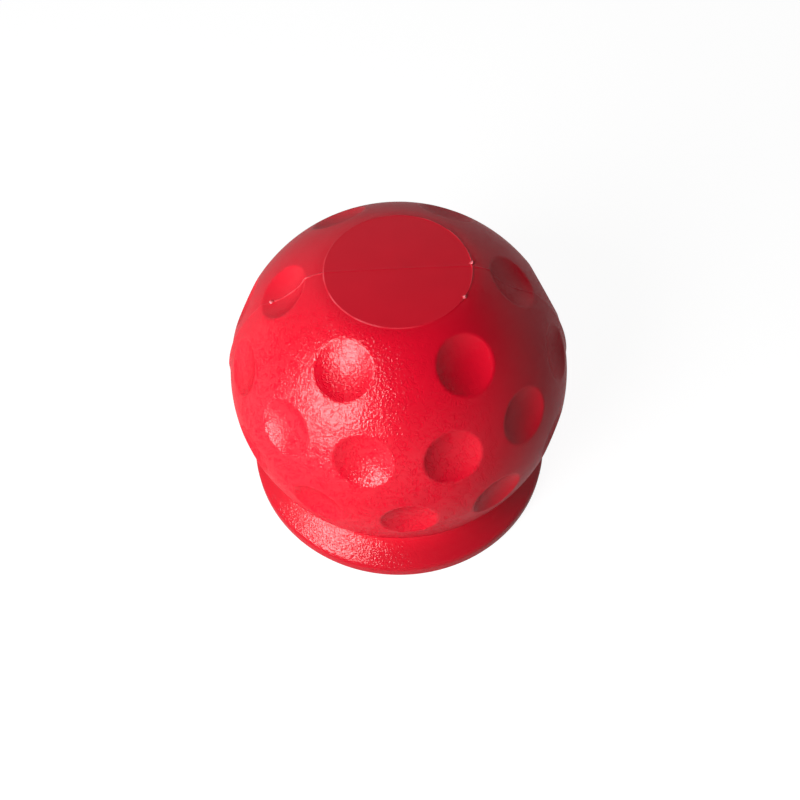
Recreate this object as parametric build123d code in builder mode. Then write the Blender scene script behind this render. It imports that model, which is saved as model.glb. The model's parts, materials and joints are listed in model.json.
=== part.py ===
from build123d import *
import os
from math import acos, asin, cos, radians, sin, sqrt, tan

# Tow ball cover: a dimpled hollow ball on a flared skirt, moulded in one piece from a soft,
# elastic plastic. It snaps over the head of a tow ball. Millimetres, +Z up, with the origin
# at the middle of the foot that it stands on. The mould parts in the XZ plane.

# Ball
ball_diameter = 80.0
ball_centre_height = 34.0
crown_diameter = 31.0  # flat disc on top of the ball

# Skirt
skirt_diameter = 78.0
skirt_slope = 45.0  # degrees below the horizontal, outside
skirt_edge_height = 4.0
foot_width = 4.5
groove_fillet = 2.0
skirt_edge_fillet = 2.0
foot_fillet = 1.0

# Socket
tow_ball_diameter = 50.0
seat_clearance = 0.1
throat_undercut = 6.0  # how much narrower than the tow ball the throat is, so that it snaps on
mouth_slope = 45.0  # degrees above the horizontal, inside
throat_lead_fillet = 4.0
throat_lip_fillet = 2.0

# Dimples, in rows that spread evenly from the ball's equator up to the crown
dimple_diameter = 12.7
dimple_depth = 1.85
crown_land = 4.25  # plain ring between the crown and the top row
dimple_rows = [  # from the equator up: copies in the row, degrees from +X to the first one
    (12, 0.0),
    (12, 15.0),
    (6, 0.0),
]

# Outside of the wall
ball_radius = ball_diameter / 2
crown_radius = crown_diameter / 2
crown_height = ball_centre_height + sqrt(ball_radius**2 - crown_radius**2)
skirt_radius = skirt_diameter / 2
skirt_edge = (skirt_radius, skirt_edge_height)
foot_outer = (skirt_radius, 0)

# Inside of the wall
seat_radius = tow_ball_diameter / 2 + seat_clearance
seat_top = ball_centre_height + seat_radius
throat_radius = (tow_ball_diameter - throat_undercut) / 2
mouth_radius = skirt_radius - foot_width
foot_inner = (mouth_radius, 0)
throat_lead = (throat_radius, (mouth_radius - throat_radius) * tan(radians(mouth_slope)))
throat_lip = (throat_radius, ball_centre_height - sqrt(seat_radius**2 - throat_radius**2))

# A dimple is a spherical hollow whose round rim lies on the ball
dimple_radius = dimple_diameter / 2
rim_distance = sqrt(ball_radius**2 - dimple_radius**2)
hollow_depth = dimple_depth - (ball_radius - rim_distance)
hollow_radius = (dimple_radius**2 + hollow_depth**2) / (2 * hollow_depth)
hollow_distance = ball_radius - dimple_depth + hollow_radius

# Latitudes on the ball, in radians
crown_latitude = acos(crown_radius / ball_radius)
top_row_latitude = crown_latitude - crown_land / ball_radius - asin(dimple_radius / ball_radius)
row_pitch = top_row_latitude / (len(dimple_rows) - 1)


with BuildPart() as cover:
    with BuildSketch(Plane.XZ) as wall_section:
        with BuildLine():
            ball_outline = CenterArc((0, ball_centre_height), ball_radius, -90, 180, mode=Mode.PRIVATE)
            flank = IntersectingLine(skirt_edge, (-1, tan(radians(skirt_slope))), ball_outline)
            groove = flank @ 1
            Line((0, crown_height), (crown_radius, crown_height))
            ThreePointArc((crown_radius, crown_height), (ball_radius, ball_centre_height), groove)
            Polyline(skirt_edge, foot_outer, foot_inner, throat_lead, throat_lip)
            ThreePointArc(throat_lip, (seat_radius, ball_centre_height), (0, seat_top))
            Line((0, seat_top), (0, crown_height))
        make_face()
        for corner, radius in (
            (groove, groove_fillet),
            (skirt_edge, skirt_edge_fillet),
            (foot_outer, foot_fillet),
            (foot_inner, foot_fillet),
            (throat_lead, throat_lead_fillet),
            (throat_lip, throat_lip_fillet),
        ):
            fillet(wall_section.vertices().sort_by_distance(corner)[0], radius)
    revolve(axis=Axis.Z)

    for row, (copies, first_angle) in enumerate(dimple_rows):
        latitude = row * row_pitch
        with Locations((0, 0, ball_centre_height + hollow_distance * sin(latitude))):
            with PolarLocations(hollow_distance * cos(latitude), copies, start_angle=first_angle):
                Sphere(hollow_radius, mode=Mode.SUBTRACT)

cover.part.label = "cover"

os.makedirs("parts", exist_ok=True)
export_step(cover.part, "parts/cover.step")
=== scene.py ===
import json
from math import acos, asin, atan2, ceil, cos, hypot, pi, radians, sin, sqrt, tan

import bmesh
import bpy
from mathutils import Matrix, Vector, noise


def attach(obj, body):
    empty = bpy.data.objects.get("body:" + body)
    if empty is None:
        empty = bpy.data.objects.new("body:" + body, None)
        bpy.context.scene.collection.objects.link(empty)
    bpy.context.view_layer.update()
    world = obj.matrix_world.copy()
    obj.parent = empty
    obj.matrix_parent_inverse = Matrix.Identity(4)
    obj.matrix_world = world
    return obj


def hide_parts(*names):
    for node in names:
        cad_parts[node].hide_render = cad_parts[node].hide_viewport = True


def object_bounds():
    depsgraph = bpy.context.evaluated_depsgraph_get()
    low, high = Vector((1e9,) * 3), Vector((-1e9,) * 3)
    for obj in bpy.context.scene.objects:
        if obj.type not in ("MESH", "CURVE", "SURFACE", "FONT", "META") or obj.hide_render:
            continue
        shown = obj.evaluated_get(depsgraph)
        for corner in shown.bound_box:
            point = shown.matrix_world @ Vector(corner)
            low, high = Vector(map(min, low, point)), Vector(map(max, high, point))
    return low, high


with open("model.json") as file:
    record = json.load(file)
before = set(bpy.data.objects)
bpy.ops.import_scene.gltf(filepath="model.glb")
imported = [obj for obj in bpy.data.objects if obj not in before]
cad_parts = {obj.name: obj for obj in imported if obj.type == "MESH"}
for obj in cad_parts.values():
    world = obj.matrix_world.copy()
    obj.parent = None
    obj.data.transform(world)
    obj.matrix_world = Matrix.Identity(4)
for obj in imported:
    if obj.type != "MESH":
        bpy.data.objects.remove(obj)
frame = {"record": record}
cad_low, cad_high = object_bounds()

# Tow ball cover: a dimpled soft ball with a flat crown and a flared skirt, moulded in one piece
# over a hollow socket. Lengths are in metres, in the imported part's own frame.
MM = 0.001
mounts = {mount["name"]: mount for mount in frame["record"]["mounts"]}

# Ball
ball_radius = 40.0 * MM
ball_centre = Vector(mounts["tow_ball_seat"]["pos_m"])
crown_height = cad_high.z
crown_radius = sqrt(ball_radius**2 - (crown_height - ball_centre.z) ** 2)
crown_latitude = acos(crown_radius / ball_radius)
shoulder_radius = 11.8 * MM  # the ball rounds off towards the disc
shoulder_tilt = radians(12)  # what is left of its slope at the disc
disc_rise = 0.14 * MM  # step up from the shoulder to the disc, and its width
disc_step = 0.14 * MM
dome_height = 0.15 * MM

# Skirt
skirt_radius = 39.0 * MM
skirt_slope = radians(45)
skirt_edge_height = 4.0 * MM
foot_width = 4.5 * MM
groove_fillet = 2.0 * MM
groove_run = 1.5 * groove_fillet  # straight stretch above the groove, for its fillet
skirt_edge_fillet = 2.0 * MM
foot_fillet = 1.0 * MM

# Socket
seat_radius = 25.1 * MM
seat_top = ball_centre.z + seat_radius
throat_radius = mounts["throat"]["dims"]["r_mm"] * MM
mouth_slope = radians(45)
throat_lead_fillet = 4.0 * MM
throat_lip_fillet = 2.0 * MM

# Dimples: copies in each row from the equator up, and degrees from +X to the row's first one
dimple_radius = 6.35 * MM
dimple_depth = 1.85 * MM
dimple_rim_fillet = 1.3 * MM
crown_land = 4.25 * MM
dimple_rows = [(12, 0), (12, 15), (6, 0)]
top_latitude = crown_latitude - crown_land / ball_radius - asin(dimple_radius / ball_radius)

# Flash: thin ragged lips of plastic where the mould's parts met, with a few small nibs
crown_flash_height = 0.2 * MM
crown_flash_width = 0.12 * MM
crown_flash_middle = radians(40)  # from +X to the middle of the lip round the disc
crown_flash_highlight = 0.55  # how far the disc's flash is painted pale, a painted highlight
# How far the seam's flash is painted pale, a painted highlight
seam_highlight = 0.35
seam_height = 0.16 * MM
seam_half_width = 0.24 * MM
faint_seam_height = 0.03 * MM
seam_swell = 0.4 * MM  # low shoulder under the seam round the ball's middle
seam_swell_half_width = 2.2 * MM
seam_cuts = (-1.5, -1, -0.5, 0, 0.5, 1, 1.5)  # lines that are cut along the seam, in half widths
ragged_length = 3.0 * MM
ragged_mean = 0.6  # share of its full height at which flash stands, and the swing about that
ragged_swing = 0.9
nib_height = 0.5 * MM
nib_reach = 0.4 * MM
nib_patch = 3 * nib_reach  # how far round a nib the skin is made finer
nib_edge = nib_reach / 3  # longest edge there that is left whole
nib_cuts = 4
nibs = [(2, crown_latitude), (-33, crown_latitude), (180, radians(46.5))]  # degrees from +X, latitude

# Mesh fineness
ring_steps = 216
line_step = 1.0 * MM
line_slack = 0.3  # share of a step by which an edge may be too long
arc_step = 1.2 * MM
fillet_segments = 6
rim_segments = 5
dimple_segments = 72
dimple_step = 0.5 * MM
dimple_collar = 0.6 * MM
hole_margin = 0.5 * MM
merge_distance = 0.002 * MM


def arc_on(outline, vert, centre, angle, longest):
    """Goes on from vert in an arc about centre, in edges of at most that length."""
    steps = ceil(abs(angle) * (vert.co - centre).length / longest)
    made = bmesh.ops.spin(outline, geom=[vert], cent=centre, axis=(0, 1, 0), angle=angle, steps=steps)
    return made["geom_last"][0]


def line_on(outline, vert, x, z):
    """Goes on from vert in a straight line to a point of the XZ plane."""
    move = Vector((x, 0, z)) - vert.co
    made = bmesh.ops.spin(outline, geom=[vert], cent=vert.co, axis=(0, 1, 0), angle=0, steps=1, dvec=move)
    return made["geom_last"][0]


def round_corner(outline, corner, radius, segments):
    """Rounds the corner between two straight edges of an outline."""
    one, other = [edge.other_vert(corner).co - corner.co for edge in corner.link_edges]
    bmesh.ops.bevel(
        outline, geom=[corner], offset=radius / tan(one.angle(other) / 2), offset_type="OFFSET",
        segments=segments, profile=0.5, affect="VERTICES", material=-1,
    )


def spin_round(outline, steps):
    """Turns an outline about the Z axis into a skin."""
    bmesh.ops.spin(
        outline, geom=outline.verts[:] + outline.edges[:], cent=(0, 0, 0), axis=(0, 0, 1),
        angle=2 * pi, steps=steps, use_merge=True,
    )
    bmesh.ops.remove_doubles(outline, verts=outline.verts, dist=merge_distance)


def draw_wall():
    """Draws the wall's half section, down the outside and up the inside, and spins it."""
    # The shoulder's arc leaves the ball where its end just meets the disc's edge
    inset = ball_radius - shoulder_radius
    shoulder_latitude = acos((crown_radius - shoulder_radius * sin(shoulder_tilt)) / inset)
    shoulder_turn = pi / 2 - shoulder_latitude - shoulder_tilt
    shoulder_centre = ball_centre + inset * Vector((cos(shoulder_latitude), 0, sin(shoulder_latitude)))
    edge_height = shoulder_centre.z + shoulder_radius * cos(shoulder_tilt)

    # The disc is a very low dome
    disc_radius = crown_radius - disc_step
    dome_radius = (disc_radius**2 + dome_height**2) / (2 * dome_height)
    dome_turn = asin(disc_radius / dome_radius)
    dome_top = Vector((0, 0, edge_height + disc_rise + dome_height))
    dome_centre = dome_top - Vector((0, 0, dome_radius))
    rim_turn = crown_flash_width / dome_radius

    # The skirt's flank rises from its edge until it meets the ball
    rise = tan(skirt_slope)
    drop = ball_centre.z - skirt_edge_height
    a = 1 + rise**2
    b = skirt_radius + drop * rise
    c = skirt_radius**2 + drop**2 - ball_radius**2
    flank_width = (b - sqrt(b**2 - a * c)) / a
    groove_x = skirt_radius - flank_width
    groove_z = skirt_edge_height + flank_width * rise
    groove_latitude = asin((groove_z - ball_centre.z) / ball_radius)
    groove_approach = groove_run / ball_radius

    mouth_radius = skirt_radius - foot_width
    lead_z = (mouth_radius - throat_radius) * tan(mouth_slope)
    lip_latitude = -acos(throat_radius / seat_radius)
    lip_z = ball_centre.z + seat_radius * sin(lip_latitude)
    seat_latitude = lip_latitude + throat_lip_fillet / seat_radius
    seat_z = ball_centre.z + seat_radius * sin(seat_latitude)

    wall = bmesh.new()
    point = wall.verts.new(dome_top)
    point = arc_on(wall, point, dome_centre, dome_turn - 2 * rim_turn, arc_step)
    point = arc_on(wall, point, dome_centre, rim_turn, arc_step)
    point = arc_on(wall, point, dome_centre, rim_turn, arc_step)
    point = line_on(wall, point, crown_radius, edge_height)
    step_turn = crown_flash_width / shoulder_radius
    point = arc_on(wall, point, shoulder_centre, step_turn, arc_step)
    point = arc_on(wall, point, shoulder_centre, shoulder_turn - step_turn, arc_step / 2)
    to_groove = shoulder_latitude - groove_latitude - groove_approach
    point = arc_on(wall, point, ball_centre, to_groove, arc_step)
    groove = line_on(wall, point, groove_x, groove_z)
    skirt_edge = line_on(wall, groove, skirt_radius, skirt_edge_height)
    foot_outer = line_on(wall, skirt_edge, skirt_radius, 0)
    foot_inner = line_on(wall, foot_outer, mouth_radius, 0)
    throat_lead = line_on(wall, foot_inner, throat_radius, lead_z)
    throat_lip = line_on(wall, throat_lead, throat_radius, lip_z)
    point = line_on(wall, throat_lip, seat_radius * cos(seat_latitude), seat_z)
    arc_on(wall, point, ball_centre, seat_latitude - pi / 2, arc_step)

    for corner, radius in (
        (groove, groove_fillet),
        (skirt_edge, skirt_edge_fillet),
        (foot_outer, foot_fillet),
        (foot_inner, foot_fillet),
        (throat_lead, throat_lead_fillet),
        (throat_lip, throat_lip_fillet),
    ):
        round_corner(wall, corner, radius, fillet_segments)
    for edge in wall.edges[:]:
        cuts = ceil(edge.calc_length() / line_step - line_slack) - 1
        if cuts > 0:
            bmesh.ops.subdivide_edges(wall, edges=[edge], cuts=cuts)

    # The spin starts half a step round, so that no edge lies along the mould's parting plane
    half_step = Matrix.Rotation(pi / ring_steps, 3, "Z")
    bmesh.ops.rotate(wall, cent=(0, 0, 0), matrix=half_step, verts=wall.verts)
    spin_round(wall, ring_steps)
    return wall


def draw_dimple():
    """Draws a dimple about the Z axis, with a narrow collar of the ball round its rim."""
    collar_radius = dimple_radius + dimple_collar
    rim_height = sqrt(ball_radius**2 - dimple_radius**2)
    hollow_depth = dimple_depth - (ball_radius - rim_height)
    hollow_radius = (dimple_radius**2 + hollow_depth**2) / (2 * hollow_depth)
    hollow_centre = Vector((0, 0, ball_radius - dimple_depth + hollow_radius))
    hollow_tilt = asin(dimple_radius / hollow_radius) - dimple_step / hollow_radius
    hollow_start = hollow_centre + hollow_radius * Vector((sin(hollow_tilt), 0, -cos(hollow_tilt)))

    dimple = bmesh.new()
    collar = dimple.verts.new((collar_radius, 0, sqrt(ball_radius**2 - collar_radius**2)))
    rim = line_on(dimple, collar, dimple_radius, rim_height)
    point = line_on(dimple, rim, hollow_start.x, hollow_start.z)
    arc_on(dimple, point, hollow_centre, hollow_tilt, dimple_step)
    round_corner(dimple, rim, dimple_rim_fillet, rim_segments)
    spin_round(dimple, dimple_segments)
    return dimple


def with_borders(faces):
    """The corners and edges of some faces, and the faces, each of them once."""
    verts = dict.fromkeys(vert for face in faces for vert in face.verts)
    edges = dict.fromkeys(edge for face in faces for edge in face.edges)
    return [*verts, *edges, *faces]


def set_dimple(wall, dimple, latitude, angle):
    """Cuts a round hole in the ball, sets a dimple in it and bridges the ring between them."""
    pose = (
        Matrix.Translation(ball_centre)
        @ Matrix.Rotation(angle, 4, "Z")
        @ Matrix.Rotation(pi / 2 - latitude, 4, "Y")
    )
    outward = pose.to_3x3() @ Vector((0, 0, 1))
    hole_radius = dimple_radius + dimple_collar + hole_margin
    hole_middle = ball_centre + outward * sqrt(ball_radius**2 - hole_radius**2)
    near = [v for v in wall.verts if (v.co - hole_middle).dot(outward) > -arc_step]
    faces = dict.fromkeys(face for vert in near for face in vert.link_faces)
    bmesh.ops.bisect_plane(
        wall, geom=with_borders(faces), dist=merge_distance,
        plane_co=hole_middle, plane_no=outward, clear_outer=True,
    )
    placed = dimple.copy()
    bmesh.ops.transform(placed, matrix=pose, verts=placed.verts)
    carrier = bpy.data.meshes.new("dimple")
    placed.to_mesh(carrier)
    placed.free()
    wall.from_mesh(carrier)
    bpy.data.meshes.remove(carrier)
    bmesh.ops.bridge_loops(wall, edges=[edge for edge in wall.edges if edge.is_boundary])


def ragged(place):
    """How high the flash stands at a place, as a share of its full height."""
    return max(0, ragged_mean + ragged_swing * noise.noise(place / ragged_length))


def raise_crown_flash(wall, flash_highlight):
    """Lifts one side of the disc's edge into a thin ragged lip, and paints that side and the side towards
    the key light paler, a painted highlight.
    """
    for vert in wall.verts:
        past_edge = hypot(vert.co.x, vert.co.y) - (crown_radius - disc_step)
        if vert.co.z > seat_top and -merge_distance < past_edge < disc_step + merge_distance:
            turn = atan2(vert.co.y, vert.co.x) - crown_flash_middle
            # Painted highlight: the edge is painted paler on the lip's side and on the side towards the
            # key light
            vert[flash_highlight] = crown_flash_highlight * ragged(vert.co) * cos(turn) ** 2
            if past_edge < merge_distance:
                vert.co.z += crown_flash_height * ragged(vert.co) * (0.5 + 0.5 * cos(turn)) ** 2


def shows_outside(face):
    """True for the ball, the crown and the skirt, and not for the foot or the socket."""
    place, normal = face.calc_center_median(), face.normal
    away = normal.x * place.x + normal.y * place.y
    return place.z > 2 * foot_fillet and (away > 0 or place.z > seat_top)


def raise_seam(wall, flash_highlight):
    """Cuts lines along the parting plane and lifts the middle ones into a ragged seam."""
    faces = [f for f in wall.faces if abs(f.calc_center_median().y) < 2 * arc_step and shows_outside(f)]
    geom = with_borders(faces)
    for share in seam_cuts:
        cut = bmesh.ops.bisect_plane(
            wall, geom=geom, dist=merge_distance / 10,
            plane_co=(0, share * seam_half_width, 0), plane_no=(0, 1, 0),
        )
        geom = cut["geom"]
    wall.normal_update()
    lifts = {}
    for vert in dict.fromkeys(v for f in wall.faces if shows_outside(f) for v in f.verts):
        from_centre = vert.co - ball_centre
        latitude = atan2(from_centre.z, hypot(from_centre.x, from_centre.y))
        lift = 0
        if abs(vert.co.y) < seam_half_width:
            on_ball = latitude < top_latitude and from_centre.length > ball_radius - dimple_rim_fillet
            on_crown = latitude > 0 and hypot(vert.co.x, vert.co.y) < crown_radius
            height = faint_seam_height if on_ball or on_crown else seam_height * ragged(vert.co)
            across = 1 - (vert.co.y / seam_half_width) ** 2
            lift += height * across
            # Painted highlight: the seam's flash is painted paler
            if not on_crown:
                vert[flash_highlight] = max(vert[flash_highlight], seam_highlight * across * height / seam_height)
        if abs(vert.co.y) < seam_swell_half_width and abs(latitude) < top_latitude:
            across = cos(pi / 2 * vert.co.y / seam_swell_half_width)
            lift += seam_swell * (across * cos(pi / 2 * latitude / top_latitude)) ** 2
        lifts[vert] = vert.normal * lift
    for vert, lift in lifts.items():
        vert.co += lift


def raise_nib(wall, flash_highlight, angle, latitude):
    """Pulls a small nib of flash out of the skin, once the skin there is fine enough."""
    outward = Vector((cos(latitude) * cos(angle), cos(latitude) * sin(angle), sin(latitude)))
    mark = ball_centre + ball_radius * outward
    place = min(wall.verts, key=lambda vert: (vert.co - mark).length).co.copy()
    near = [v for v in wall.verts if (v.co - place).length < nib_patch]
    faces = dict.fromkeys(face for vert in near for face in vert.link_faces)
    edges = dict.fromkeys(e for face in faces for e in face.edges if e.calc_length() > nib_edge)
    bmesh.ops.subdivide_edges(wall, edges=list(edges), cuts=nib_cuts, use_grid_fill=True)
    for vert in wall.verts:
        distance = (vert.co - place).cross(outward).length
        if distance < nib_reach and (vert.co - place).length < nib_patch:
            vert.co += outward * nib_height * (1 - (distance / nib_reach) ** 2) ** 0.5
            # Painted highlight: the nib is painted in the full pale flash colour
            vert[flash_highlight] = 1


def model_cover():
    """Models the moulding: the wall, its dimples and its flash."""
    wall = draw_wall()
    dimple = draw_dimple()
    for row, (copies, first) in enumerate(dimple_rows):
        latitude = top_latitude * row / (len(dimple_rows) - 1)
        for copy in range(copies):
            set_dimple(wall, dimple, latitude, radians(first) + 2 * pi * copy / copies)
    dimple.free()
    bmesh.ops.recalc_face_normals(wall, faces=wall.faces)
    # A layer for where the skin is painted pale, a painted highlight on the flash
    flash_highlight = wall.verts.layers.float.new("flash_highlight")
    raise_crown_flash(wall, flash_highlight)
    raise_seam(wall, flash_highlight)
    for angle, latitude in nibs:
        raise_nib(wall, flash_highlight, radians(angle), latitude)
    # The cuts leave faces of many sides, some with three corners in a line
    many_sided = [face for face in wall.faces if len(face.verts) > 4]
    bmesh.ops.triangulate(wall, faces=many_sided, quad_method="BEAUTY", ngon_method="BEAUTY")
    bmesh.ops.recalc_face_normals(wall, faces=wall.faces)
    for face in wall.faces:
        face.smooth = True
    mesh = bpy.data.meshes.new("soft_cover")
    wall.to_mesh(mesh)
    wall.free()
    cover = bpy.data.objects.new("soft_cover", mesh)
    bpy.context.scene.collection.objects.link(cover)
    return cover


def colour(code):
    """An sRGB hex code as linear red, green, blue and alpha."""
    channels = [int(code[i : i + 2], 16) / 255 for i in (1, 3, 5)]
    return [c / 12.92 if c <= 0.04045 else ((c + 0.055) / 1.055) ** 2.4 for c in channels] + [1.0]


def add_node(tree, kind, settings=(), links=()):
    """Adds a node, with its properties and input values by name or number, and links its inputs."""
    node = tree.nodes.new(kind)
    for name, value in dict(settings).items():
        if isinstance(name, str) and hasattr(node, name):
            setattr(node, name, value)
        else:
            node.inputs[name].default_value = value
    for name, source in dict(links).items():
        tree.links.new(source, node.inputs[name])
    return node


def new_material(name):
    material = bpy.data.materials.new(name)
    material.use_nodes = True
    material.node_tree.nodes.clear()
    return material, material.node_tree


def moulded_polyurethane_skin():
    """Soft polyurethane foam with a skin of its own, moulded against an etched mould. The skin is a
    dull red under a thin gloss. Fine leathery wrinkles break a highlight into sparks, and short
    creases, which are too narrow to shine, stay as dark strokes in it. The crown's mould plate was
    polished, so the disc has hardly any grain. Flash is painted paler, a painted highlight where its
    thin lips catch the light. The skirt under the ball is painted a darker red, a painted shade."""
    wrinkle_width = 0.5 * MM
    wrinkle_depth = 0.18 * MM
    crease_spacing = 0.85 * MM
    crease_depth = 0.036 * MM
    crease_gaps = 1.6 * MM
    mottle_width = 9.0 * MM
    disc_grain = 0.1
    disc_fade_low = crown_height - 0.4 * MM
    disc_fade_high = crown_height - 0.25 * MM
    line_edge = 0.4  # values of the creases' noise at a stroke's edge and at its middle
    line_middle = 0.5
    gap_edge = 0.54  # values of the gaps' noise at a gap's edge and well inside it
    gap_inside = 0.62
    away = (0.4, 0.85, -0.3)  # towards the back, the right and the skirt
    fully_creased = -40 * MM  # how far that way the creases are full, and where they are fewest
    least_creased = -30 * MM
    least_creases = 0.15
    crease_gloss = 0.05
    skin_gloss = 0.46
    # Heights between which the painted shade on the skirt fades out
    skirt_fade_low = 7 * MM
    skirt_fade_high = 11 * MM
    dark_red = colour("#e5102b")
    light_red = colour("#f2122f")
    skirt_shade_red = colour("#d60f28")
    flash_highlight_red = colour("#f27882")

    material, tree = new_material("moulded_polyurethane_skin")
    place = add_node(tree, "ShaderNodeTexCoord").outputs["Object"]
    height = add_node(tree, "ShaderNodeSeparateXYZ", links={0: place}).outputs["Z"]
    grained = add_node(
        tree, "ShaderNodeMapRange",
        {
            "From Min": disc_fade_low, "From Max": disc_fade_high,
            "To Min": 1.0, "To Max": disc_grain,
        },
        {"Value": height},
    ).outputs["Result"]
    wrinkles = add_node(
        tree, "ShaderNodeTexNoise", {"Scale": 1 / wrinkle_width, "Detail": 1.0}, {"Vector": place}
    )
    wrinkled = add_node(
        tree, "ShaderNodeBump", {"Distance": wrinkle_depth},
        {"Strength": grained, "Height": wrinkles.outputs["Fac"]},
    )

    # A crease runs where a noise crosses its middle value, until a second noise breaks it off
    creases = add_node(
        tree, "ShaderNodeTexNoise", {"Scale": 1 / crease_spacing, "Detail": 0.0, "Distortion": 0.6},
        {"Vector": place},
    )
    middles = add_node(
        tree, "ShaderNodeMath", {"operation": "PINGPONG", 1: line_middle}, {0: creases.outputs["Fac"]}
    )
    lines = add_node(
        tree, "ShaderNodeMapRange",
        {
            "interpolation_type": "SMOOTHSTEP",
            "From Min": line_edge, "From Max": line_middle, "To Min": 1.0, "To Max": 0.0,
        },
        {"Value": middles.outputs[0]},
    )
    gaps = add_node(
        tree, "ShaderNodeTexNoise", {"Scale": 1 / crease_gaps, "Detail": 0.0}, {"Vector": place}
    )
    gaps = add_node(
        tree, "ShaderNodeMapRange",
        {"interpolation_type": "SMOOTHSTEP", "From Min": gap_edge, "From Max": gap_inside},
        {"Value": gaps.outputs["Fac"]},
    )
    strokes = add_node(
        tree, "ShaderNodeMath", {"operation": "MAXIMUM"},
        {0: lines.outputs["Result"], 1: gaps.outputs["Result"]},
    ).outputs[0]

    # The creases are full high on the front left, and fade away from there
    backward = add_node(
        tree, "ShaderNodeVectorMath", {"operation": "DOT_PRODUCT", 1: away}, {0: place}
    )
    creased = add_node(
        tree, "ShaderNodeMapRange",
        {
            "From Min": fully_creased, "From Max": least_creased,
            "To Min": 1.0, "To Max": least_creases,
        },
        {"Value": backward.outputs["Value"]},
    )
    creased = add_node(
        tree, "ShaderNodeMath", {"operation": "MULTIPLY"}, {0: creased.outputs["Result"], 1: grained}
    ).outputs[0]
    shaded = add_node(
        tree, "ShaderNodeBump", {"Distance": crease_depth}, {"Strength": creased, "Height": strokes}
    )
    shining = add_node(tree, "ShaderNodeMix", {2: 1.0}, {0: creased, 3: strokes})
    gloss = add_node(
        tree, "ShaderNodeMapRange", {"To Min": crease_gloss, "To Max": skin_gloss},
        {"Value": shining.outputs["Result"]},
    )

    mottle = add_node(
        tree, "ShaderNodeTexNoise", {"Scale": 1 / mottle_width, "Detail": 2.0}, {"Vector": place}
    )
    red = add_node(
        tree, "ShaderNodeMix", {"data_type": "RGBA", 6: dark_red, 7: light_red},
        {0: mottle.outputs["Fac"]},
    )
    # Painted shade: low down, on the skirt under the ball, the skin is painted a darker red
    skirt_shade = add_node(
        tree, "ShaderNodeMapRange",
        {"From Min": skirt_fade_low, "From Max": skirt_fade_high, "To Min": 1.0, "To Max": 0.0},
        {"Value": height},
    )
    red = add_node(
        tree, "ShaderNodeMix", {"data_type": "RGBA", 7: skirt_shade_red},
        {0: skirt_shade.outputs["Result"], 6: red.outputs[2]},
    )
    # Painted highlight: flash, seam and nibs are mixed towards a pale red
    flash_highlight = add_node(tree, "ShaderNodeAttribute", {"attribute_name": "flash_highlight"})
    red = add_node(
        tree, "ShaderNodeMix", {"data_type": "RGBA", 7: flash_highlight_red},
        {0: flash_highlight.outputs["Fac"], 6: red.outputs[2]},
    )
    skin = add_node(
        tree, "ShaderNodeBsdfPrincipled",
        {
            "Roughness": 0.6, "IOR": 1.5, "Specular IOR Level": 0.0,
            "Coat Roughness": 0.16, "Coat IOR": 1.45,
        },
        {
            "Base Color": red.outputs[2], "Normal": shaded.outputs["Normal"],
            "Coat Weight": gloss.outputs["Result"], "Coat Normal": wrinkled.outputs["Normal"],
        },
    )
    add_node(tree, "ShaderNodeOutputMaterial", links={"Surface": skin.outputs["BSDF"]})
    return material


soft_cover = model_cover()
soft_cover.data.materials.append(moulded_polyurethane_skin())
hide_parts("cover")
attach(soft_cover, "root")


def seen_rays(tree):
    """1 for a ray that shows a surface, straight or in a reflection, and 0 for one that lights another."""
    paths = add_node(tree, "ShaderNodeLightPath").outputs
    seen = add_node(
        tree, "ShaderNodeMath", {"operation": "MAXIMUM"},
        {0: paths["Is Camera Ray"], 1: paths["Is Glossy Ray"]},
    )
    return add_node(
        tree, "ShaderNodeMath", {"operation": "MAXIMUM"},
        {0: seen.outputs[0], 1: paths["Is Transmission Ray"]},
    ).outputs[0]


def white_paper():
    """Matt paper that is seen as white and keeps the shadow. On the key light's side it glows brighter
    than white, a painted pool of light that shows only in reflections. It throws a plain grey back on the
    object."""
    key_side = (-0.72, -0.69, 0)
    bright_from = 70 * MM
    bright_to = 115 * MM
    far_glow = 0.5
    key_glow = 1.9
    white = (0.93, 0.93, 0.93, 1)
    grey_lighting = 0.5
    grey_seen = 0.2

    material, tree = new_material("white_paper")
    place = add_node(tree, "ShaderNodeTexCoord").outputs["Object"]
    under_key = add_node(
        tree, "ShaderNodeVectorMath", {"operation": "DOT_PRODUCT", 1: key_side}, {0: place}
    )
    mirrored = add_node(
        tree, "ShaderNodeMapRange",
        {"From Min": bright_from, "From Max": bright_to, "To Min": far_glow, "To Max": key_glow},
        {"Value": under_key.outputs["Value"]},
    )
    camera_ray = add_node(tree, "ShaderNodeLightPath").outputs["Is Camera Ray"]
    strength = add_node(
        tree, "ShaderNodeMix", {3: 1.0}, {0: camera_ray, 2: mirrored.outputs["Result"]}
    )
    seen = seen_rays(tree)
    strength = add_node(
        tree, "ShaderNodeMath", {"operation": "MULTIPLY"}, {0: strength.outputs["Result"], 1: seen}
    )
    glow = add_node(
        tree, "ShaderNodeEmission", {"Color": white}, {"Strength": strength.outputs[0]}
    )
    paleness = add_node(
        tree, "ShaderNodeMapRange", {"To Min": grey_lighting, "To Max": grey_seen}, {"Value": seen}
    )
    paper = add_node(tree, "ShaderNodeBsdfDiffuse", links={"Color": paleness.outputs["Result"]})
    both = add_node(tree, "ShaderNodeAddShader", links={0: paper.outputs[0], 1: glow.outputs[0]})
    add_node(tree, "ShaderNodeOutputMaterial", links={"Surface": both.outputs[0]})
    return material


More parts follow.
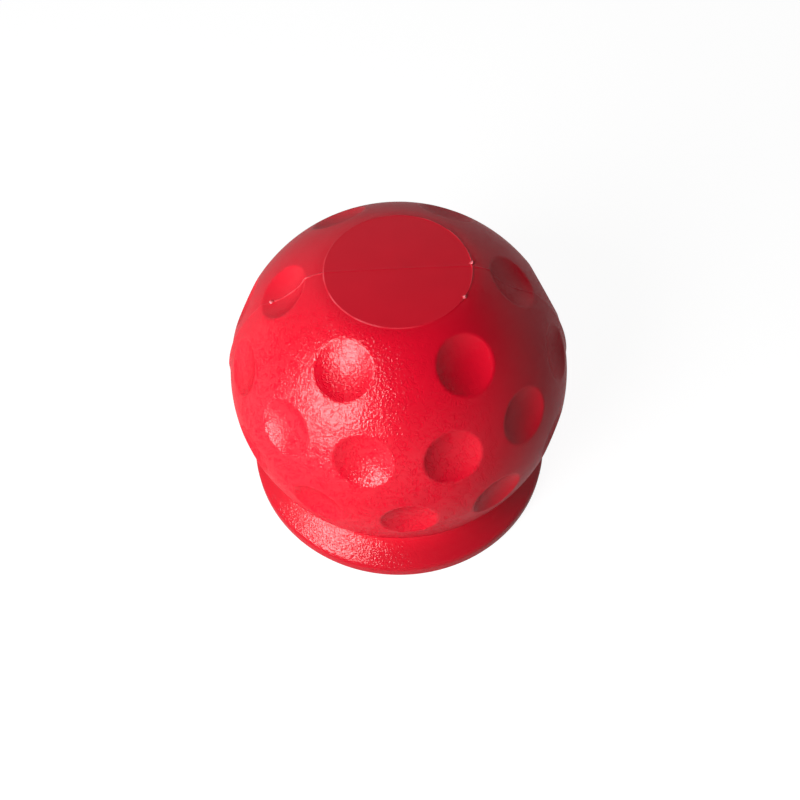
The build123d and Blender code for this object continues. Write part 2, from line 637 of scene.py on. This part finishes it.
floor_size = 40.0
floor_grid = bmesh.new()
bmesh.ops.create_grid(floor_grid, x_segments=1, y_segments=1, size=floor_size / 2)
floor_mesh = bpy.data.meshes.new("floor")
floor_grid.to_mesh(floor_mesh)
floor_grid.free()
floor_mesh.materials.append(white_paper())
floor = bpy.data.objects.new("floor", floor_mesh)
bpy.context.scene.collection.objects.link(floor)


def toward(azimuth, elevation):
    """Points from the object at an azimuth, counted from -Y towards +X, and an elevation."""
    return Vector((sin(azimuth) * cos(elevation), -cos(azimuth) * cos(elevation), sin(elevation)))


# Camera: the photograph's angle, with the ball's centre at the same pixel
image_size = 800
ball_pixel = (398.8, 371.0)
focal_pixels = 849.5
camera_azimuth = radians(-3.06)
camera_elevation = radians(56.97)
camera_roll = radians(0.3)
camera_distance = 205.9 * MM
nearest_seen = 5 * MM
back = toward(camera_azimuth, camera_elevation)
level = Vector((cos(camera_azimuth), sin(camera_azimuth), 0))
right = Matrix.Rotation(-camera_roll, 3, back) @ level
up = back.cross(right)
move_right = (image_size / 2 - ball_pixel[0]) / focal_pixels * camera_distance
move_up = (ball_pixel[1] - image_size / 2) / focal_pixels * camera_distance
stand = ball_centre + back * camera_distance + right * move_right + up * move_up
lens = bpy.data.cameras.new("camera")
lens.lens = lens.sensor_width * focal_pixels / image_size
lens.clip_start = nearest_seen
camera = bpy.data.objects.new("camera", lens)
camera.matrix_world = Matrix.Translation(stand) @ Matrix((right, up, back)).transposed().to_4x4()
bpy.context.scene.collection.objects.link(camera)
bpy.context.scene.camera = camera


def hang_soft_box(name, azimuth, elevation, width, height, radiance, lights):
    """Hangs an oval soft box that faces the ball. One that lights nothing shows only as gloss."""
    toward_box = toward(azimuth, elevation)
    soft_box = bpy.data.lights.new(name, "AREA")
    soft_box.shape = "ELLIPSE"
    soft_box.size = width
    soft_box.size_y = height
    soft_box.energy = radiance * pi * pi * width * height / 4
    hung = bpy.data.objects.new(name, soft_box)
    hung.location = ball_centre + toward_box * box_distance
    hung.rotation_euler = toward_box.to_track_quat("Z", "Y").to_euler()
    hung.visible_diffuse = lights
    bpy.context.scene.collection.objects.link(hung)


# Key light: a soft box close by, low on the left in front, and a larger one that shows only as gloss
box_distance = 0.35
key_azimuth = radians(-46)
key_elevation = radians(26)
key_width = 0.22
key_height = 0.32
key_level = 1.22  # what a white sheet that faces it would render as
key_radiance = 4 * key_level * box_distance**2 / (key_width * key_height)
gloss_azimuth = radians(-47)
gloss_elevation = radians(22.5)
gloss_width = 0.24
gloss_height = 0.32
gloss_radiance = 16.0
hang_soft_box("soft_box", key_azimuth, key_elevation, key_width, key_height, key_radiance, True)
hang_soft_box(
    "soft_box_gloss", gloss_azimuth, gloss_elevation, gloss_width, gloss_height, gloss_radiance, False
)

# Room light: dim, and mostly from behind and below. The room is seen as white, straight or in a
# reflection, but for a dark patch overhead in front on the right.
light_side = (0, 0.56, -0.83)
most_light = 0.6
dark_side = (0.35, -0.25, 0.9)
dark_edge = 0.4  # cosines of the angle from the dark side, where white ends and where black begins
dark_inside = 0.8
room = bpy.data.worlds.new("room")
room.use_nodes = True
room_tree = room.node_tree
room_tree.nodes.clear()
direction = add_node(room_tree, "ShaderNodeTexCoord").outputs["Generated"]
back_low = add_node(
    room_tree, "ShaderNodeVectorMath", {"operation": "DOT_PRODUCT", 1: light_side}, {0: direction}
)
dim = add_node(
    room_tree, "ShaderNodeMapRange", {"From Min": -1.0, "To Min": 0.0, "To Max": most_light},
    {"Value": back_low.outputs["Value"]},
)
front_right = add_node(
    room_tree, "ShaderNodeVectorMath", {"operation": "DOT_PRODUCT", 1: dark_side}, {0: direction}
)
white = add_node(
    room_tree, "ShaderNodeMapRange",
    {"From Min": dark_edge, "From Max": dark_inside, "To Min": 1.0, "To Max": 0.0},
    {"Value": front_right.outputs["Value"]},
)
strength = add_node(
    room_tree, "ShaderNodeMix",
    links={0: seen_rays(room_tree), 2: dim.outputs["Result"], 3: white.outputs["Result"]},
)
walls = add_node(
    room_tree, "ShaderNodeBackground", {"Color": (1, 1, 1, 1)}, {"Strength": strength.outputs["Result"]}
)
add_node(room_tree, "ShaderNodeOutputWorld", links={"Surface": walls.outputs["Background"]})
bpy.context.scene.world = room
bpy.context.scene.view_settings.view_transform = "Standard"
